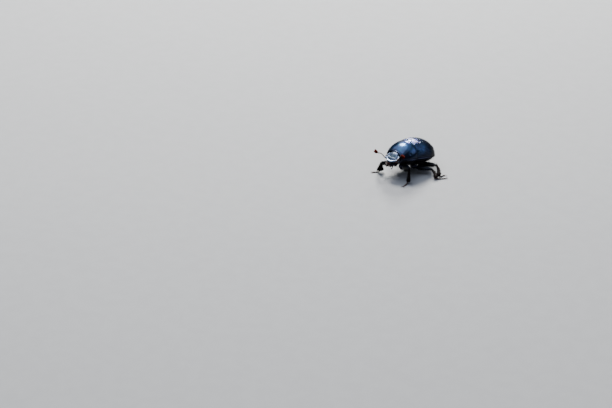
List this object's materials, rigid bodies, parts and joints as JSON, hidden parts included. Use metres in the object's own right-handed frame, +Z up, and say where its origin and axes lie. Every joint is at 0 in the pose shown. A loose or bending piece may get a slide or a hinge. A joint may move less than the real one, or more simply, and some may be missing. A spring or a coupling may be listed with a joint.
{
  "type": "dung beetle",
  "caption": "Forest dor beetle, an earth-boring dung beetle, as a still life-size model in mid step, with domed glossy blue-black wing cases and rust-red feeler clubs.",
  "frame": {"origin": "on the floor, under the middle of the beetle's whole outline, legs included", "axes": "+Z up, head towards -Y, the beetle's left side towards +X"},
  "size_m": [0.0222, 0.021, 0.0092],
  "materials": {
    "shell": "high gloss blue-black cuticle with a steel blue sheen",
    "underside": "glossy violet-blue cuticle under dark hairs",
    "leg": "glossy black cuticle with a blue sheen",
    "tarsus": "semi-gloss red-brown to black cuticle",
    "eye": "glossy black facets",
    "feeler": "satin dark brown cuticle",
    "club": "matt orange felt"
  },
  "bodies": {
    "root": {"pronotum": "shell", "scutellum": "shell", "elytron_left": "shell", "elytron_right": "shell", "head": "shell", "labrum": "shell", "mandible_left": "shell", "mandible_right": "shell", "prothorax": "underside", "metathorax": "underside", "abdomen": "underside", "eye_left": "eye", "eye_right": "eye", "antenna_left": "feeler", "antenna_right": "feeler", "palp_left": "feeler", "palp_right": "feeler", "antenna_club_left": "club", "antenna_club_right": "club", "coxa_fore_left": "underside", "femur_fore_left": "leg", "tibia_fore_left": "leg", "tarsus_fore_left": "tarsus", "coxa_fore_right": "underside", "femur_fore_right": "leg", "tibia_fore_right": "leg", "tarsus_fore_right": "tarsus", "coxa_mid_left": "underside", "femur_mid_left": "leg", "tibia_mid_left": "leg", "tarsus_mid_left": "tarsus", "coxa_mid_right": "underside", "femur_mid_right": "leg", "tibia_mid_right": "leg", "tarsus_mid_right": "tarsus", "coxa_hind_left": "underside", "femur_hind_left": "leg", "tibia_hind_left": "leg", "tarsus_hind_left": "tarsus", "coxa_hind_right": "underside", "femur_hind_right": "leg", "tibia_hind_right": "leg", "tarsus_hind_right": "tarsus"}
  },
  "joints": []
}
